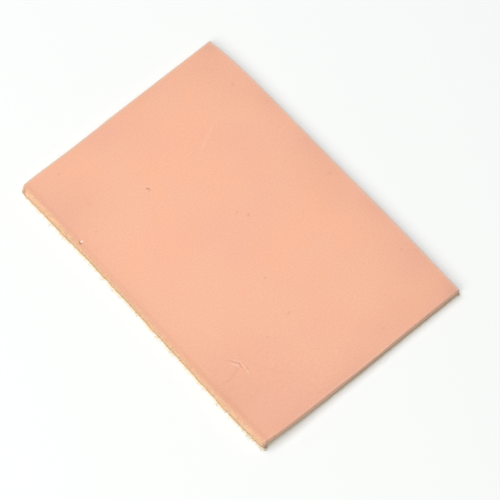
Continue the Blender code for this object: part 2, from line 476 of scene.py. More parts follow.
# The raw cut. A slanted, roughly skived edge is more fibrous than a square one, so each number that roughens
# the cut is given edge by edge, from the front one on: front, right, back, left.
cut = {
    # The relief edge by edge, its size along X, Y and Z, all in mm, and its seed. The layers are the long
    # flat ones that the hide's fibres lie in.
    "relief": {
        "layers": ((0.020, 0.020, 0.020, 0.030), (5, 5, 0.33), 21),
        "clumps": ((0.020, 0.022, 0.022, 0.085), (0.9, 0.9, 0.6), 22),
        "fibres": ((0.012, 0.014, 0.014, 0.035), (0.32, 0.32, 0.28), 23),
    },
    "smoothLevels": (0.80, 0.93),                # shares of the thickness over which all these fade out
    "footRagged": (0.02, 0.04, 0.04, 0.26),      # mm, how far the foot's ragged lip wanders
    "lipPatches": [(1.0, 1.5, 1.5, 24), (0.9, 0.5, 0.5, 25)],    # rows for flatNoise
    "lipLevels": (0.02, 0.26),                   # shares of the thickness over which the lip fades out
    "footRadius": 0.08,                          # mm
    "shoulderDrop": 0.10,                        # mm that the grain rolls down by at the rim
    "shoulderReach": 0.75,                       # and how far in from the rim that starts
    "shoulderLevels": (0.86, 1.0),
    # Thin torn flesh that lies on the table beyond the foot, in mm, and the shares of the thickness where it
    # starts and where it is longest. On the front and right edges it lies in the shadow beside the foot, and
    # its darker, browner tone there adds painted shade. Then the tufts in it: the place in mm from the front
    # left corner, along the front edge or, under zero, along the left one, then half width and length in mm.
    # A length under zero makes the torn flesh shorter there.
    "fringe": (0.70, 0.50, 0.0, 1.10),
    "fringeLevels": (0.07, 0.006),
    "tornPatches": [(1.0, 1.6, 1.6, 26), (0.5, 0.4, 0.4, 27)],   # rows for flatNoise
    "tufts": [(-149.0, 6.0, -0.6), (-131.0, 0.5, 0.2), (-123.0, 0.4, 0.3), (-99.0, 0.4, 0.3),
              (-88.0, 0.4, 0.3), (-77.0, 0.4, 0.2), (-65.0, 0.5, 0.3), (-56.0, 0.4, 0.3), (-35.0, 0.4, 0.3),
              (-27.0, 0.6, 0.2), (-9.0, 0.5, 0.3), (0.4, 0.8, 0.6), (104.2, 1.2, 0.5)],
    # the foot line is partly the flesh's own darker tone, partly painted shade where the ragged foot turns
    # under
    "footLine": (0.0, 0.0, 0.0, 0.46),           # how dark the flesh is just above the foot
    "footLineLevel": (0.12, 0.05),               # its middle and half height, as shares of the thickness
    # Gouges in the cut: the place as above, half width, depth and darkness, which is painted shade. The two
    # with no depth are only painted shade, at the front right and back left corners. Then the shares of the
    # thickness over which they fade out at the top, deepen at the foot and darken at the foot.
    "gouges": [(-0.55, 0.50, 0.20, 0.42), (103.6, 0.70, 0.0, 0.20), (-149.9, 0.60, 0.0, 0.40)],
    "gougeLevels": ((0.6, 0.9), (0.0, 0.3), (0.06, 0.25)),
}


def byEdge(numbers, along):
    # A number for each edge, blended over from one to the next within this share of an edge at each end
    reach = 0.02
    edge = np.floor(along).astype(int) % 4
    share = along - np.floor(along)
    numbers = np.array(numbers)
    before = (numbers[edge] + numbers[(edge - 1) % 4]) / 2
    after = (numbers[edge] + numbers[(edge + 1) % 4]) / 2
    value = before + (numbers[edge] - before) * ease(share, 0.0, reach)
    return value + (after - value) * ease(share, 1.0 - reach, 1.0)


def cutRelief(spot, along, level, lip):
    # mm that the cut stands out by its layers, clumps and fibres, which fade out at the rim, and by its lip
    push = np.zeros(level.shape)
    for relief, size, seed in cut["relief"].values():
        push += byEdge(relief, along) * latticeNoise(spot, np.array(size) * mm, seed)
    push *= 1.0 - ease(level, *cut["smoothLevels"])
    return push + byEdge(cut["footRagged"], along) * lip * (1.0 - ease(level, *cut["lipLevels"]))


def tornFlesh(spot, along, fromCorner):
    # mm that the torn flesh reaches beyond the foot, and how much of it is tufts
    torn = flatNoise(spot, cut["tornPatches"])
    fringe = byEdge(cut["fringe"], along) * np.clip(0.8 + 0.26 * torn, 0.2, 1.4)
    tufted = np.zeros(torn.shape)
    for place, halfWidth, length in cut["tufts"]:
        tuft = np.exp(-(((fromCorner - place) / halfWidth) ** 2))
        fringe = fringe + length * (0.9 + 0.25 * torn) * tuft
        tufted = np.maximum(tufted, tuft)
    return fringe, tufted


def gougesAt(fromCorner, level):
    # mm that the gouges cut into the edge, and how much painted shade they get
    top, foot, darkFoot = cut["gougeLevels"]
    deep = np.zeros(level.shape)
    dark = np.zeros(level.shape)
    for place, halfWidth, depth, shade in cut["gouges"]:
        gouge = np.exp(-(((fromCorner - place) / halfWidth) ** 2)) * (1.0 - ease(level, *top))
        deep += depth * gouge * ease(level, *foot)
        dark += shade * gouge * ease(level, *darkFoot)
    return deep, dark


def cutWall(heights, outlines, along, levels):
    # The cut as a surface of two parameters: the place along the edge and the height as a share of the
    # thickness. It is pushed outwards by its relief and drawn in to a small round at the foot, where a thin
    # wedge of torn flesh runs out over the table by fringe ((start - level) / (start - longest))^2.
    # Gives the points; how dark they are, with painted shade and the flesh's own darker line at the foot;
    # how pale, with painted highlight; and how torn they are.
    z = np.asarray(levels) * thickness
    base = loopsAt(heights, outlines, along, z)
    height = np.broadcast_to(z[:, None], base.shape[:2])
    spot = np.concatenate([base, height[..., None]], axis=-1)
    level = height / thickness
    span = (cadBox[1] - cadBox[0]) / mm
    fromCorner = np.where(along < 2.0, along * span.x, (along - 4.0) * span.y)
    lip = flatNoise(spot, cut["lipPatches"])
    fringe, tufted = tornFlesh(spot, along, fromCorner)
    start, longest = cut["fringeLevels"]
    wedge = np.clip((start - level) / (start - longest), 0.0, 1.0) ** 2
    radius = cut["footRadius"]
    below = np.clip(1.0 - height / mm / radius, 0.0, 1.0)
    footRound = radius * (1.0 - np.sqrt(1.0 - below ** 2))
    gougeDepth, gougeShade = gougesAt(fromCorner, level)
    push = cutRelief(spot, along, level, lip) + np.maximum(fringe, 0.0) * wedge - footRound - gougeDepth
    base = base + outwardOf(base) * push[..., None] * mm

    relief, dark, pale = grainRelief(base[..., 0], base[..., 1])
    height = height + (relief - cut["shoulderDrop"] * mm) * ease(level, *cut["shoulderLevels"])
    lineLevel, lineHalf = cut["footLineLevel"]
    # The foot line is darkest where the lip is drawn in: painted shade of the undercut, over the flesh's own
    # darker tone
    line = np.clip(0.7 - 1.1 * lip, 0.0, 1.9) * np.exp(-(((level - lineLevel) / lineHalf) ** 2))
    dark = np.maximum(dark * (level > 0.9), byEdge(cut["footLine"], along) * line + gougeShade)
    fringed = np.clip(1.0 - level / start, 0.0, 1.0) * np.clip(fringe / 0.25, 0.0, 1.0)
    return np.concatenate([base, height[..., None]], axis=-1), dark, pale, fringed * (1.0 - 0.4 * tufted)


def shoulderRings(rim, insets):
    # Rings on the grain face just inside the rim. Both sides of the outline move in by the inset, and the
    # face drops towards the rim by drop (1 - inset / reach)^2.
    insets = np.asarray(insets)[:, None, None]
    flat = rim[:, :2] * (1.0 - insets / np.abs(rim[:, :2]).max(axis=0))
    relief, dark, pale = grainRelief(flat[..., 0], flat[..., 1])
    share = np.clip(1.0 - insets[..., 0] / mm / cut["shoulderReach"], 0.0, 1.0)
    height = thickness + relief - cut["shoulderDrop"] * mm * share ** 2
    return np.concatenate([flat, height[..., None]], axis=-1), dark, pale


# Hands and the bench have dulled the grain towards the edges. Each row is the side's direction, how strong
# the darker tone is at that side, and how many millimetres in it takes to fade to a third.
handling = [((-1, 0), 0.48, 4.5), ((1, 0), 0.47, 11.0), ((0, -1), 0.44, 8.5), ((0, 1), 0.32, 9.0)]
handlingPatches = [(0.45, 13, 13, 51)]    # what makes that uneven, as rows for flatNoise

# Clouds in the hide's tone: x, y and radius in millimetres, and strength
clouds = {
    "handled": [(-46.0, -52.0, 19.0, 0.27), (-30.0, -40.0, 22.0, 0.07), (-40.0, 54.0, 14.0, 0.25),
                (42.0, -54.0, 9.0, 0.20)],
    "warmed": [(3.6, 57.9, 11.0, 0.6), (17.4, 45.9, 11.0, 0.6), (-6.0, 48.0, 9.0, 0.4),
               (-13.0, 16.0, 9.0, 0.3), (-40.0, -52.0, 20.0, 0.35)],
}

# Lines of other tones along the rim. Each row is the side's direction, how far in from the rim the line runs
# and its half width in millimetres, its strength, and where along the side it is strongest and its reach
# from there. The knife pressed a darker, warmer line beside the skived left cut. The back rim is worn dark,
# the right one is greyer with painted shadow, the grey of the table's shadow beside it, and the front one is
# scuffed pale.
rimLines = {
    "handled": [((-1, 0), 0.6, 0.9, 0.30, 0, 900)],
    "pressed": [((-1, 0), 0.5, 0.8, 0.15, 0, 900), ((-1, 0), 0.8, 1.2, 0.50, -48, 30),
                ((-1, 0), 0.5, 0.9, 0.22, 55, 22), ((-1, 0), 0.6, 0.8, 0.34, 73, 8)],
    "worn": [((0, 1), 0.22, 0.60, 0.85, 0, 900), ((1, 0), 0.22, 0.60, 0.80, 74, 6)],
    "shadowGrey": [((1, 0), 0.0, 0.85, 0.82, 0, 900)],
    "scuffed": [((0, -1), 0.35, 0.40, 0.16, 0, 900), ((0, -1), 0.35, 0.40, 0.20, 0, 26)],
}


def rimLine(points, outline, rows):
    # The sum over the rows of strength e^-((distance - place) / half width)^2 e^-((far - middle) / reach)^2,
    # where the distance is measured inwards from the rim, and far along it
    share = np.zeros(len(points))
    for (sideX, sideY), place, halfWidth, strength, middle, reach in rows:
        distance = edgeAt(points, outline, sideX, sideY) - points[:, 0] * sideX - points[:, 1] * sideY
        far = (points[:, 1] if sideX else points[:, 0]) / mm - middle
        share += strength * np.exp(-(((distance / mm - place) / halfWidth) ** 2) - (far / reach) ** 2)
    return share


def cloudShare(points, rows):
    # The sum over the rows of strength e^-(distance / radius)^2
    share = np.zeros(len(points))
    for x, y, radius, strength in rows:
        distance = np.hypot(points[:, 0] / mm - x, points[:, 1] / mm - y)
        share += strength * np.exp(-((distance / radius) ** 2))
    return share


def handledShare(points, outline):
    # How much of the darker, handled tone shows at each point: the sum over the sides of
    # strength e^-(distance / reach), made uneven by slow noise, with the clouds and lines at the rim added
    share = np.zeros(len(points))
    for (sideX, sideY), strength, reach in handling:
        distance = (cadBox[1].x if sideX else cadBox[1].y) - points[:, 0] * sideX - points[:, 1] * sideY
        share += strength * np.exp(-distance / mm / reach)
    share = share * flatNoise(points, handlingPatches, 1.0) + cloudShare(points, clouds["handled"])
    return share + rimLine(points, outline, rimLines["handled"])


def edgeAt(points, outline, sideX, sideY):
    # How far out an outline lies on one side, level with each point
    edge = {(0, -1): 0, (1, 0): 1, (0, 1): 2, (-1, 0): 3}[(sideX, sideY)]
    steps = len(outline) // 4
    run = np.vstack([outline, outline[:1]])[edge * steps:(edge + 1) * steps + 1]
    across = run[:, 1] if sideX else run[:, 0]
    out = run[:, 0] * sideX + run[:, 1] * sideY
    order = np.argsort(across)
    return np.interp(points[:, 1] if sideX else points[:, 0], across[order], out[order])


def snapTo(grid, spots):
    # Each spot pulls the nearest point of the grid onto itself, so that a small mark has a point of its own
    flat = grid.reshape(-1, 2)
    for spot in spots:
        flat[np.argmin(np.hypot(*(flat - spot).T))] = spot
    return grid


def faceGrid(outline, alongX, alongY, inset):
    # A grid inside an outline: each point is blended from the four edges, so that the lines follow them
    # (a Coons patch), and then drawn towards the middle by the inset at the outermost line.
    p, q = np.meshgrid(alongX, alongY)
    p = p[..., None]
    q = q[..., None]
    front = walkOutline(outline, alongX)[None, :]
    right = walkOutline(outline, 1.0 + alongY)[:, None]
    back = walkOutline(outline, 3.0 - alongX)[None, :]
    left = walkOutline(outline, 4.0 - alongY)[:, None]
    c0, c1, c2, c3 = (walkOutline(outline, np.array(float(i))) for i in range(4))
    patch = front * (1 - q) + back * q + left * (1 - p) + right * p
    patch -= c0 * (1 - p) * (1 - q) + c1 * p * (1 - q) + c2 * p * q + c3 * (1 - p) * q
    reach = np.abs(outline).max(axis=0)
    return patch * (1.0 - inset / reach)


def borderOf(rows, columns, first, alongX, alongY):
    # The outer points of a grid, counter-clockwise from its front left corner, and how far along each is
    number = first + np.arange(rows * columns).reshape(rows, columns)
    loop = np.concatenate([number[0, :-1], number[:-1, -1], number[-1, :0:-1], number[:0:-1, 0]])
    along = np.concatenate([alongX[:-1], 1 + alongY[:-1], 3 - alongX[:0:-1], 4 - alongY[:0:-1]])
    return loop, along


def bakeMap(points, quads, triangles, wallQuads, wallAlong, wallLevel):
    # Where each face's corners lie on the bake's map. The grain face and the flesh side lie side by side and
    # the cut's four edges lie above them as strips, taller than they are so that they keep their detail.
    mapSide = 215 * mm
    faceMiddle = (51.5 * mm, 76.5 * mm)
    fleshShift = 106 * mm
    stripMargin = 4 * mm
    stripLength = 200 * mm
    firstStrip = 157 * mm
    stripStep = 13.72 * mm
    stripHeight = 12.04 * mm

    def flat(corners, facesUp):
        spot = points[corners][..., :2]
        shift = np.where(facesUp[:, None], 0.0, fleshShift)
        return np.stack([spot[..., 0] + faceMiddle[0] + shift, spot[..., 1] + faceMiddle[1]], axis=-1)

    def facesUp(corners):
        return points[corners][..., 2].mean(axis=1) > thickness / 2

    edge = np.floor(wallAlong[:, :1])
    x = (wallAlong - edge) * stripLength + stripMargin
    y = firstStrip + edge * stripStep + wallLevel * stripHeight
    wall = np.stack([x, y], axis=-1)
    rest = quads[len(wallQuads):]
    places = [wall.reshape(-1, 2), flat(rest, facesUp(rest)).reshape(-1, 2)]
    places.append(flat(triangles, facesUp(triangles)).reshape(-1, 2))
    return np.concatenate(places) / mapSide


def curlUp(points, curl, held):
    # The points moved up by lift e^-(distance / reach)^2, and outwards with it, less the share held down
    x, y, reach, lift, swingX, swingY = curl
    distance = np.hypot(points[:, 0] / mm - x, points[:, 1] / mm - y)
    rise = lift * mm * np.exp(-((distance / reach) ** 2)) * (1.0 - held)
    return points + rise[:, None] * np.array([swingX, swingY, 1.0])


def grainFace(s, outline):
    # The grain face's grid, its lines along X and Y, closer around the marks, and how dark and pale it is
    lines = []
    for length, marked in zip(cadBox[1] - cadBox[0], (s["markSpansX"], s["markSpansY"])):
        spans = [(start * mm + length / 2, end * mm + length / 2) for start, end in marked]
        lines.append(gradedLines(length, s["grainStep"], s["markStep"], spans))
    grid = snapTo(faceGrid(outline, *lines, s["inset"]), [np.array(pit[:2]) * mm for pit in pits])
    relief, dark, pale = grainRelief(grid[..., 0], grid[..., 1])
    return np.concatenate([grid, (thickness + relief)[..., None]], axis=-1), lines, dark, pale


def fleshFace(s, outline):
    # The flesh side's grid, and its lines along X and Y
    span = cadBox[1] - cadBox[0]
    lines = [np.linspace(0.0, 1.0, int(length / s["fleshStep"])) for length in (span.x, span.y)]
    grid = faceGrid(outline, *lines, s["inset"])
    nap = flatNoise(grid, s["fleshSwell"], s["napHeight"])
    return np.concatenate([grid, nap[..., None] * mm], axis=-1), lines


def wallFaces(along, upMap):
    # The cut's faces, and how far along and up the bake's map each of their corners lies
    count = len(along)
    shape = (len(upMap) - 1, count, 4)
    here = np.arange(count)
    there = (here + 1) % count
    ring = np.arange(shape[0])[:, None] * count
    faces = np.stack([ring + here, ring + there, ring + count + there, ring + count + here], axis=-1)
    alongNext = np.append(along[1:], 4.0)
    faceAlong = np.stack([along, alongNext, alongNext, along], axis=-1)
    faceUp = np.stack([upMap[:-1], upMap[:-1], upMap[1:], upMap[1:]], axis=-1)[:, None]
    return [np.broadcast_to(part, shape).reshape(-1, 4) for part in (faces, faceAlong, faceUp)]


def makeLeather(s, materials):
    # The leather as one closed surface. The cut and the rings inside its rim are loops, point by point above
    # each other. The grids of both faces are joined to the highest and the lowest loop by triangles.
    heights, outlines = readOutlines(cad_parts["leather_panel"], s["outlineSteps"])
    outlines = trimOutlines(heights, outlines, s["wander"])
    rimOutline = outlines[heights < s["rimLevel"] * thickness][-1]
    along = np.concatenate([edge + np.arange(n) / n for edge, n in enumerate(s["stations"])])
    wall, wallDark, wallPale, fringed = cutWall(heights, outlines, along, s["wallLevels"])
    shoulder, shoulderDark, shoulderPale = shoulderRings(wall[-1], s["shoulder"])
    wall = np.concatenate([wall, shoulder])
    levels, count = wall.shape[:2]
    grain, grainLines, grainDark, grainPale = grainFace(s, outlines[-1])
    flesh, fleshLines = fleshFace(s, outlines[0])
    grainFirst = levels * count
    fleshFirst = grainFirst + grainDark.size
    points = np.concatenate([part.reshape(-1, 3) for part in (wall, grain, flesh)])
    held = np.append(fringed.ravel(), np.zeros(len(points) - fringed.size))
    points = curlUp(points, s["curl"], s["fringeHeld"] * held)
    wall = points[:grainFirst].reshape(wall.shape)

    # How far up the bake's map each ring lies: its share of the thickness, then past 1 on the grain face
    upMap = np.concatenate([s["wallLevels"], 1.0 + np.asarray(s["shoulder"]) / thickness])
    wallQuads, wallAlong, wallUp = wallFaces(along, upMap)
    grainQuads = gridQuads(*grain.shape[:2], grainFirst)
    fleshQuads = gridQuads(*flesh.shape[:2], fleshFirst)[:, ::-1]
    quads = np.concatenate([wallQuads, grainQuads, fleshQuads])
    rim = grainFirst - count + np.arange(count)
    grainRim = zipLoops(rim, along, *borderOf(*grain.shape[:2], grainFirst, *grainLines))
    fleshRim = zipLoops(np.arange(count), along, *borderOf(*flesh.shape[:2], fleshFirst, *fleshLines))
    triangles = np.concatenate([grainRim, fleshRim[:, ::-1]])

    # Slots: 0 the grain face with the rounded rim, 1 the raw cut, 2 the flesh side
    wallSlots = np.repeat(np.where(upMap[:-1] >= s["grainLevel"], 0, 1), count)
    slots = np.concatenate([
        wallSlots, np.zeros(len(grainQuads)), np.full(len(fleshQuads), 2),
        np.zeros(len(grainRim)), np.full(len(fleshRim), 2)])

    def fill(*parts):
        # The parts' numbers, point by point, and zero for the points that are left
        numbers = np.concatenate([np.ravel(part) for part in parts])
        return np.append(numbers, np.zeros(len(points) - len(numbers)))

    onTop = points[:fleshFirst]
    values = {
        "cutDepth": fill(np.repeat(1.0 - np.minimum(upMap, 1.0), count)),
        # painted shade in the marks, the gouges and the foot line (there over the flesh's own darker tone),
        # and painted highlight on the marks' lit sides
        "markShadeAndDark": fill(wallDark, shoulderDark, grainDark),
        "markHighlightAndPale": fill(wallPale, shoulderPale, grainPale),
        "squareCut": fill(np.tile(byEdge((1, 1, 1, 0), along), levels)),
        "handled": fill(handledShare(onTop, rimOutline)),
        "warmed": fill(cloudShare(onTop, clouds["warmed"])),
        "fringed": fill(fringed),
    }
    for tone in ("pressed", "worn", "shadowGrey", "scuffed"):
        values[tone] = fill(rimLine(onTop, rimOutline, rimLines[tone]))
    places = bakeMap(points, quads, triangles, wallQuads, wallAlong, wallUp)
    piece = makePiece("leather_cut", points, quads, triangles, materials, slots, values, places)
    print("leather:", 2 * len(quads) + len(triangles), "triangles")
    return piece, wall, along


# Loose fibres that the knife tore out, thickest along the foot of the slanted left cut

fibres = {
    "thickness": (0.010, 0.022),       # mm, radius at the root
    # For each edge, from the front one on: how many, and their least and greatest length in mm
    "fuzz": [(120, 0.15, 0.50), (350, 0.20, 0.75), (200, 0.20, 0.60), (480, 0.30, 1.10)],
    "shortness": 1.7,                  # over 1, more of them are short
    "fuzzTop": (0.22, 0.22, 0.22, 0.05),   # share of the thickness up to which they grow, edge by edge
    "lowness": 1.8,                    # over 1, more of them grow low down
    "rootDepth": 0.06,                 # mm that the roots are sunk into the cut
    "sideways": (0.45, 0.30),          # how far they turn along the edge, of the fuzz and of the tufts
    "upward": ((-0.5, 0.45), (-0.3, 0.05)),    # least and most that they rise, on three edges and the left
    "waviness": 0.28,
    "droop": 0.25,
    # Tufts: the place along the outline, how many fibres, their length in mm and their spread along the edge
    "tufts": [(3.127, 10, 1.0, 0.5), (3.180, 12, 1.3, 0.5), (3.340, 10, 1.1, 0.4), (3.387, 12, 1.3, 0.5),
              (3.413, 10, 1.0, 0.4), (3.487, 12, 1.2, 0.5), (3.567, 10, 1.1, 0.5), (3.627, 12, 1.4, 0.5),
              (3.767, 12, 1.4, 0.5), (3.820, 8, 1.6, 0.5), (3.940, 12, 1.3, 0.5), (3.953, 12, 1.5, 0.5),
              (3.996, 12, 1.4, 0.8), (0.008, 12, 1.4, 1.0), (0.995, 12, 1.3, 0.8)],
}


def threadMesh(root, heading, length, bend, radius):
    # Threads as surfaces of two parameters. At share s of its length a thread's middle is at
    # root + length (heading s + bend s^2), and its three sides stand radius (1 - 0.75 s) away. The last ring
    # closes on the tip, and a triangle closes the root.
    rings = 3
    s = np.linspace(0.0, 0.8, rings)[None, :, None]
    middle = root[:, None] + length[:, None, None] * (heading[:, None] * s + bend[:, None] * s ** 2)
    ahead = heading[:, None] + 2 * bend[:, None] * s
    ahead /= np.linalg.norm(ahead, axis=-1, keepdims=True)
    side = np.cross(ahead, np.array([0.3, -0.2, 1.0]))
    side /= np.linalg.norm(side, axis=-1, keepdims=True)
    up = np.cross(side, ahead)
    angle = np.arange(3) * 2 * pi / 3
    round3 = side[..., None, :] * np.cos(angle)[:, None] + up[..., None, :] * np.sin(angle)[:, None]
    width = (radius[:, None, None] * (1.0 - 0.75 * s))[..., None]
    tube = middle[:, :, None] + width * round3
    tip = root + length[:, None] * (heading + bend)
    points = np.concatenate([tube.reshape(len(root), -1, 3), tip[:, None]], axis=1)
    points[..., 2] = np.maximum(points[..., 2], 0.02 * mm)
    ring = np.arange(rings - 1)[:, None] * 3
    here = np.arange(3)[None, :]
    there = (here + 1) % 3
    quad = np.broadcast_arrays(ring + here, ring + there, ring + 3 + there, ring + 3 + here)
    quad = np.stack(quad, axis=-1)
    last = (rings - 1) * 3
    tipFaces = np.stack([last + np.arange(3), last + (np.arange(3) + 1) % 3, np.full(3, last + 3)], axis=-1)
    triangle = np.concatenate([tipFaces, [[2, 1, 0]]])
    first = np.arange(len(root))[:, None, None] * (last + 4)
    quads = (first + quad.reshape(1, -1, 4)).reshape(-1, 4)
    triangles = (first + triangle[None]).reshape(-1, 3)
    return points.reshape(-1, 3), quads, triangles


def fibrePlaces(s, rng):
    # Each fibre's place along the cut, its length, and how far it turns along the edge. Fuzz is
    # least + (most - least) r^shortness long, where r is random from 0 to 1.
    station = []
    length = []
    sideways = []
    for edge, (count, least, most) in enumerate(s["fuzz"]):
        station.append(edge + rng.random(count))
        length.append(least + (most - least) * rng.random(count) ** s["shortness"])
        sideways.append(rng.normal(0.0, s["sideways"][0], count))
    for place, count, reach, spread in s["tufts"]:
        edge = int(place)
        edgeLength = 2 * (cadBox[1].y if edge % 2 else cadBox[1].x)
        scatter = rng.normal(0.0, spread * mm / (3 * edgeLength), count)
        station.append(edge + np.clip(place - edge + scatter, 0.0005, 0.9995))
        length.append(reach * rng.uniform(0.55, 1.0, count))
        sideways.append(rng.normal(0.0, s["sideways"][1], count))
    return np.concatenate(station), np.concatenate(length) * mm, np.concatenate(sideways)


def makeFibres(s, wall, along, levels, material):
    # The fibres grow out of the cut, each at a height of top r^lowness, where r is random from 0 to 1
    rng = np.random.default_rng(41)
    station, length, sideways = fibrePlaces(s, rng)
    total = len(station)
    height = np.array(s["fuzzTop"])[station.astype(int)] * rng.random(total) ** s["lowness"]
    column = np.searchsorted(along, station, side="right") - 1
    row = np.searchsorted(np.asarray(levels), height, side="right") - 1
    root = wall[row, column]
    ahead = wall[row, (column + 1) % len(along)] - wall[row, column - 1]
    ahead[:, 2] = 0.0
    ahead /= np.linalg.norm(ahead, axis=1, keepdims=True)
    outward = np.stack([ahead[:, 1], -ahead[:, 0], np.zeros(total)], axis=1)
    root = root - outward * s["rootDepth"] * mm
    onSquare, onLeft = [rng.uniform(least, most, total) for least, most in s["upward"]]
    upward = np.where(station < 3.0, onSquare, onLeft)
    heading = outward + ahead * sideways[:, None] + upward[:, None] * np.array([0.0, 0.0, 1.0])
    heading /= np.linalg.norm(heading, axis=1, keepdims=True)
    bend = rng.normal(0.0, s["waviness"], (total, 3))
    bend[:, 2] -= s["droop"]
    radius = rng.uniform(*s["thickness"], total) * mm
    points, quads, triangles = threadMesh(root, heading, length, bend, radius)
    slots = np.zeros(len(quads) + len(triangles))
    tan = np.where((station > 0.03) & (station < 0.97), 1.0, 0.3 * (station < 3.0))    # browner at the front
    tan = np.repeat(tan, len(points) // total)
    piece = makePiece("edge_fibres", points, quads, triangles, [material], slots, {"tan": tan}, None)
    print("fibres:", 2 * len(quads) + len(triangles), "triangles")
    return piece


# Materials

# dark and pale are the tones of the painted shade and the painted highlight in the grain's marks
grainLook = {
    "base": "EAAF92", "warm": "ECAE8B", "pink": "E8AB92", "handled": "D59C85", "pressed": "D9A07C",
    # the right rim's greyer tone is painted shadow: the grey of the table's shadow beside it
    "worn": "D5BAA4", "shadowGrey": "DCC8BA", "scuffed": "EECBB9", "dark": "8F5033", "pale": "FAE4D2",
    "roughness": 0.56,
    "porePitch": 0.30 * mm,     # real pores are 0.1 to 0.2 mm apart: drawn coarser, so that they show
    "mottlePitch": 0.8 * mm,
    "cloudPitch": 26 * mm,
}

# dark is the tone of the painted shade in the gouges and along the foot line, where it joins the flesh's own
# darker tone
cutLook = {
    # foot is the flesh's own darker tone, with painted shade where the foot turns under
    "rim": "DEA687", "core": "EABF9D", "streak": "D19E79", "foot": "C09C79",
    # on the square cuts the torn flesh is darker and browner, adding painted shade beside the foot
    "fringe": "E9D9BC", "fringeTip": "EAE4D5", "squareFringeShade": "DBCBB3",
    # on the square cuts the tone darkens towards the foot: painted shade towards the table
    "squareCore": "EFCAB8", "squareFootShade": "D1B09C", "dark": "755638",
    "roughness": 0.85,
    "streakPitch": 0.35 * mm,   # the hide's fibre bundles are 0.1 to 0.3 mm thick
}

fleshLook = {"light": "D9B28F", "dark": "B98A68", "roughness": 0.95, "napPitch": 0.7 * mm}

fibreLook = {
    "light": "F4E1C0", "dark": "EBCFA5", "tanLight": "DCBF97", "tanDark": "C4A077",
    "roughness": 0.8,
}


def vegTanGrain(look):
    # Vegetable-tanned full grain, undyed and unfinished: bark tannins leave it a pale pinkish tan that
    # clouds a little from place to place. The smooth hair side has only a soft, broad gloss, broken by fine
    # pores.
    material, tree, shader = newMaterial("vegTanGrain")
    coords = addNode(tree, "ShaderNodeTexCoord", {}).outputs["Object"]
    cloud = addNode(tree, "ShaderNodeTexNoise", {
        "Vector": coords, "Scale": 1 / look["cloudPitch"], "Detail": 3.0, "Roughness": 0.55}).outputs["Fac"]
    drift = addNode(tree, "ShaderNodeMapping", {"Vector": coords, "Location": (0.31, 0.17, 0.0)}).outputs[0]
    cloud2 = addNode(tree, "ShaderNodeTexNoise", {
        "Vector": drift, "Scale": 0.8 / look["cloudPitch"], "Detail": 2.0}).outputs["Fac"]
    warmShare = addNode(tree, "ShaderNodeMapRange", {
        "Value": cloud, "From Min": 0.45, "From Max": 0.7, "To Max": 0.7}).outputs[0]
    warmed = addNode(tree, "ShaderNodeAttribute", {}, attribute_name="warmed").outputs["Fac"]
    warmShare = addNode(tree, "ShaderNodeMath", {
        0: warmShare, 1: warmed}, operation="ADD", use_clamp=True).outputs[0]
    pinkShare = addNode(tree, "ShaderNodeMapRange", {
        "Value": cloud2, "From Min": 0.48, "From Max": 0.72, "To Max": 0.6}).outputs[0]
    tone = addNode(tree, "ShaderNodeMix", {
        0: warmShare, 6: hexColour(look["base"]), 7: hexColour(look["warm"])}, data_type="RGBA").outputs[2]
    tone = addNode(tree, "ShaderNodeMix", {
        0: pinkShare, 6: tone, 7: hexColour(look["pink"])}, data_type="RGBA").outputs[2]
    # The right rim's greyer tone is painted shadow of the table beside it
    for name in ("handled", "pressed", "worn", "shadowGrey", "scuffed"):
        share = addNode(tree, "ShaderNodeAttribute", {}, attribute_name=name).outputs["Fac"]
        tone = addNode(tree, "ShaderNodeMix", {
            0: share, 6: tone, 7: hexColour(look[name])}, data_type="RGBA").outputs[2]
    mottle = addNode(tree, "ShaderNodeTexNoise", {
        "Vector": coords, "Scale": 1 / look["mottlePitch"], "Detail": 4.0, "Roughness": 0.7}).outputs["Fac"]
    shade = addNode(tree, "ShaderNodeMapRange", {
        "Value": mottle, "From Min": 0.3, "From Max": 0.7, "To Min": 0.92, "To Max": 1.06}).outputs[0]
    tone = addNode(tree, "ShaderNodeVectorMath", {0: tone, "Scale": shade}, operation="SCALE").outputs[0]
    # Painted shade in the bottoms of creases and pits, then painted highlight on their lit sides
    dark = addNode(tree, "ShaderNodeAttribute", {}, attribute_name="markShadeAndDark").outputs["Fac"]
    dark = addNode(tree, "ShaderNodeMath", {0: dark, 1: 0.9}, operation="MINIMUM").outputs[0]
    tone = addNode(tree, "ShaderNodeMix", {
        0: dark, 6: tone, 7: hexColour(look["dark"])}, data_type="RGBA").outputs[2]
    pale = addNode(tree, "ShaderNodeAttribute", {}, attribute_name="markHighlightAndPale").outputs["Fac"]
    pale = addNode(tree, "ShaderNodeMath", {0: pale, 1: 1.0}, operation="MINIMUM").outputs[0]
    tone = addNode(tree, "ShaderNodeMix", {
        0: pale, 6: tone, 7: hexColour(look["pale"])}, data_type="RGBA").outputs[2]
    pores = addNode(tree, "ShaderNodeTexVoronoi", {
        "Vector": coords, "Scale": 1 / look["porePitch"], "Randomness": 1.0}).outputs["Distance"]
    pebble = addNode(tree, "ShaderNodeTexNoise", {
        "Vector": coords, "Scale": 1 / look["mottlePitch"], "Detail": 5.0, "Roughness": 0.75}).outputs["Fac"]
    height = addNode(tree, "ShaderNodeMath", {
        0: pores, 1: 0.35, 2: pebble}, operation="MULTIPLY_ADD").outputs[0]
    bump = addNode(tree, "ShaderNodeBump", {
        "Height": height, "Strength": 0.35, "Distance": 0.06 * mm}).outputs[0]
    gloss = addNode(tree, "ShaderNodeMapRange", {
        "Value": mottle, "From Min": 0.3, "From Max": 0.7, "To Min": look["roughness"] - 0.04,
        "To Max": look["roughness"] + 0.06}).outputs[0]
    tree.links.new(tone, shader.inputs["Base Color"])
    tree.links.new(gloss, shader.inputs["Roughness"])
    tree.links.new(bump, shader.inputs["Normal"])
    shader.inputs["IOR"].default_value = 1.45
    shader.inputs["Specular IOR Level"].default_value = 0.35
    return material


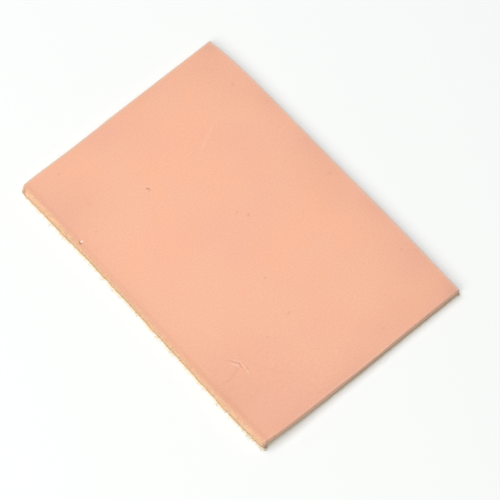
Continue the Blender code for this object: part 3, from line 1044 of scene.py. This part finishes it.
def knifeCutHide(look):
    # The raw edge of the hide, cut with a knife and left undressed: a thin dense grain layer at the top,
    # then open fibre bundles in long flat layers, paler and yellower than the grain, and loose flesh at the
    # foot that dries to cream at its tips. It has no gloss at all.
    material, tree, shader = newMaterial("knifeCutHide")
    coords = addNode(tree, "ShaderNodeTexCoord", {}).outputs["Object"]
    depth = addNode(tree, "ShaderNodeAttribute", {}, attribute_name="cutDepth").outputs["Fac"]
    long = addNode(tree, "ShaderNodeMapping", {"Vector": coords, "Scale": (0.22, 0.22, 1.0)}).outputs[0]
    streak = addNode(tree, "ShaderNodeTexNoise", {
        "Vector": long, "Scale": 1 / look["streakPitch"], "Detail": 3.0, "Roughness": 0.6}).outputs["Fac"]
    clump = addNode(tree, "ShaderNodeTexNoise", {
        "Vector": coords, "Scale": 1 / (0.9 * mm), "Detail": 4.0, "Roughness": 0.65}).outputs["Fac"]
    streakShare = addNode(tree, "ShaderNodeMapRange", {
        "Value": streak, "From Min": 0.45, "From Max": 0.72, "To Max": 0.75}).outputs[0]
    tone = addNode(tree, "ShaderNodeMix", {
        0: streakShare, 6: hexColour(look["core"]),
        7: hexColour(look["streak"])}, data_type="RGBA").outputs[2]
    # On the square cuts the tone darkens from top to foot: painted shade towards the table
    square = addNode(tree, "ShaderNodeAttribute", {}, attribute_name="squareCut").outputs["Fac"]
    squareTone = addNode(tree, "ShaderNodeMix", {
        0: depth, 6: hexColour(look["squareCore"]),
        7: hexColour(look["squareFootShade"])}, data_type="RGBA").outputs[2]
    tone = addNode(tree, "ShaderNodeMix", {0: square, 6: tone, 7: squareTone}, data_type="RGBA").outputs[2]
    wander = addNode(tree, "ShaderNodeMath", {
        0: clump, 1: 0.22, 2: depth}, operation="MULTIPLY_ADD").outputs[0]
    rimShare = addNode(tree, "ShaderNodeMapRange", {
        "Value": wander, "From Min": 0.13, "From Max": 0.50, "To Min": 0.90, "To Max": 0.0}).outputs[0]
    tone = addNode(tree, "ShaderNodeMix", {
        0: rimShare, 6: tone, 7: hexColour(look["rim"])}, data_type="RGBA").outputs[2]
    # The foot is darker: the flesh's own darker tone, with painted shade where the foot turns under
    footShare = addNode(tree, "ShaderNodeMapRange", {
        "Value": wander, "From Min": 0.90, "From Max": 1.04, "To Max": 0.65}).outputs[0]
    tone = addNode(tree, "ShaderNodeMix", {
        0: footShare, 6: tone, 7: hexColour(look["foot"])}, data_type="RGBA").outputs[2]
    # Painted shade in the gouges and along the foot line, where it joins the flesh's own darker tone
    dark = addNode(tree, "ShaderNodeAttribute", {}, attribute_name="markShadeAndDark").outputs["Fac"]
    tone = addNode(tree, "ShaderNodeMix", {
        0: dark, 6: tone, 7: hexColour(look["dark"])}, data_type="RGBA").outputs[2]
    shade = addNode(tree, "ShaderNodeMapRange", {
        "Value": clump, "From Min": 0.3, "From Max": 0.7, "To Min": 0.87, "To Max": 1.10}).outputs[0]
    tone = addNode(tree, "ShaderNodeVectorMath", {0: tone, "Scale": shade}, operation="SCALE").outputs[0]
    fringed = addNode(tree, "ShaderNodeAttribute", {}, attribute_name="fringed").outputs["Fac"]
    rootShare = addNode(tree, "ShaderNodeMapRange", {"Value": fringed, "From Max": 0.5}).outputs[0]
    # On the square cuts the torn flesh is darker and browner: painted shade beside the foot
    fringeTone = addNode(tree, "ShaderNodeMix", {
        0: square, 6: hexColour(look["fringe"]),
        7: hexColour(look["squareFringeShade"])}, data_type="RGBA").outputs[2]
    tone = addNode(tree, "ShaderNodeMix", {
        0: rootShare, 6: tone, 7: fringeTone}, data_type="RGBA").outputs[2]
    tipShare = addNode(tree, "ShaderNodeMapRange", {"Value": fringed, "From Min": 0.5}).outputs[0]
    tone = addNode(tree, "ShaderNodeMix", {
        0: tipShare, 6: tone, 7: hexColour(look["fringeTip"])}, data_type="RGBA").outputs[2]
    height = addNode(tree, "ShaderNodeMath", {0: streak, 1: clump}, operation="ADD").outputs[0]
    strength = addNode(tree, "ShaderNodeMapRange", {
        "Value": fringed, "To Min": 0.6, "To Max": 0.1}).outputs[0]
    bump = addNode(tree, "ShaderNodeBump", {
        "Height": height, "Strength": strength, "Distance": 0.12 * mm}).outputs[0]
    tree.links.new(tone, shader.inputs["Base Color"])
    tree.links.new(bump, shader.inputs["Normal"])
    shader.inputs["Roughness"].default_value = look["roughness"]
    shader.inputs["IOR"].default_value = 1.45
    shader.inputs["Specular IOR Level"].default_value = 0.2
    return material


def fleshNap(look):
    # The flesh side, split and brushed: a short suede-like nap, matt, with painted shade darkening its
    # hollows
    material, tree, shader = newMaterial("fleshNap")
    coords = addNode(tree, "ShaderNodeTexCoord", {}).outputs["Object"]
    combed = addNode(tree, "ShaderNodeMapping", {"Vector": coords, "Scale": (1.0, 0.35, 1.0)}).outputs[0]
    nap = addNode(tree, "ShaderNodeTexNoise", {
        "Vector": combed, "Scale": 1 / look["napPitch"], "Detail": 6.0, "Roughness": 0.75}).outputs["Fac"]
    # Painted shade: the nap is darker where its bump is low, in its hollows
    share = addNode(tree, "ShaderNodeMapRange", {
        "Value": nap, "From Min": 0.35, "From Max": 0.7}).outputs[0]
    tone = addNode(tree, "ShaderNodeMix", {
        0: share, 6: hexColour(look["dark"]), 7: hexColour(look["light"])}, data_type="RGBA").outputs[2]
    bump = addNode(tree, "ShaderNodeBump", {"Height": nap, "Strength": 0.8, "Distance": 0.2 * mm}).outputs[0]
    tree.links.new(tone, shader.inputs["Base Color"])
    tree.links.new(bump, shader.inputs["Normal"])
    shader.inputs["Roughness"].default_value = look["roughness"]
    shader.inputs["Sheen Weight"].default_value = 0.15
    shader.inputs["Specular IOR Level"].default_value = 0.15
    return material


def looseCollagen(look):
    # Torn collagen fibres: dry, cream to tan, matt threads
    material, tree, shader = newMaterial("looseCollagen")
    coords = addNode(tree, "ShaderNodeTexCoord", {}).outputs["Object"]
    patch = addNode(tree, "ShaderNodeTexNoise", {"Vector": coords, "Scale": 1 / (1.4 * mm)}).outputs["Fac"]
    share = addNode(tree, "ShaderNodeMapRange", {
        "Value": patch, "From Min": 0.35, "From Max": 0.65}).outputs[0]
    cream = addNode(tree, "ShaderNodeMix", {
        0: share, 6: hexColour(look["light"]), 7: hexColour(look["dark"])}, data_type="RGBA").outputs[2]
    brown = addNode(tree, "ShaderNodeMix", {
        0: share, 6: hexColour(look["tanLight"]),
        7: hexColour(look["tanDark"])}, data_type="RGBA").outputs[2]
    tan = addNode(tree, "ShaderNodeAttribute", {}, attribute_name="tan").outputs["Fac"]
    tone = addNode(tree, "ShaderNodeMix", {0: tan, 6: cream, 7: brown}, data_type="RGBA").outputs[2]
    tree.links.new(tone, shader.inputs["Base Color"])
    shader.inputs["Roughness"].default_value = look["roughness"]
    shader.inputs["Specular IOR Level"].default_value = 0.2
    return material


materials = [vegTanGrain(grainLook), knifeCutHide(cutLook), fleshNap(fleshLook)]
sheet, wall, along = makeLeather(leather, materials)
loose = makeFibres(fibres, wall, along, leather["wallLevels"], looseCollagen(fibreLook))

for piece in (sheet, loose):
    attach(piece, "root")
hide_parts("leather_panel")
print("pieces ride on the root body")


# The pale table, two large soft lights and an even, weak white surround

studio = {
    "table": "EBEDEC",
    "tableHalf": 1.2,
    # Azimuth in degrees from +X to where the light stands, elevation, distance and size in metres, watts and
    # tint. The shadows are a little warm, so the key is a little cool for its part.
    "lights": {
        "keyFromBehind": (100.0, 67.7, 3.0, 2.2, 61.1, (1.0, 1.010, 1.060)),
        "fillFromLeft": (192.0, 43.0, 1.9, 1.1, 15.7, (1.0, 0.990, 0.940)),
    },
    "surround": 0.345,
    "surroundTint": (1.0, 0.990, 0.940, 1.0),
}


def makeLight(name, azimuth, elevation, distance, size, power, tint):
    # A square lamp at a distance from the middle of the leather, turned to face it
    light = bpy.data.lights.new(name, "AREA")
    light.shape = "SQUARE"
    light.size = size
    light.energy = power
    light.color = tint
    lamp = bpy.data.objects.new(name, light)
    back = Vector((cos(elevation) * cos(azimuth), cos(elevation) * sin(azimuth), sin(elevation)))
    lamp.location = back * distance
    lamp.rotation_euler = back.to_track_quat("Z", "Y").to_euler()
    bpy.context.scene.collection.objects.link(lamp)


def makeStudio(s):
    half = s["tableHalf"]
    mesh = bpy.data.meshes.new("floor")
    corners = [(-half, -half, 0), (half, -half, 0), (half, half, 0), (-half, half, 0)]
    mesh.from_pydata(corners, [], [(0, 1, 2, 3)])
    material, tree, shader = newMaterial("paperWhite")
    shader.inputs["Base Color"].default_value = hexColour(s["table"])
    shader.inputs["Roughness"].default_value = 0.9
    shader.inputs["Specular IOR Level"].default_value = 0.1
    mesh.materials.append(material)
    floor = bpy.data.objects.new("floor", mesh)
    bpy.context.scene.collection.objects.link(floor)
    for name, (azimuth, elevation, distance, size, power, tint) in s["lights"].items():
        makeLight(name, radians(azimuth), radians(elevation), distance, size, power, tint)
    world = bpy.data.worlds.new("surround")
    world.use_nodes = True
    world.node_tree.nodes["Background"].inputs["Color"].default_value = s["surroundTint"]
    world.node_tree.nodes["Background"].inputs["Strength"].default_value = s["surround"]
    bpy.context.scene.world = world
    bpy.context.scene.view_settings.view_transform = "Standard"


makeStudio(studio)
print("table and lights set")
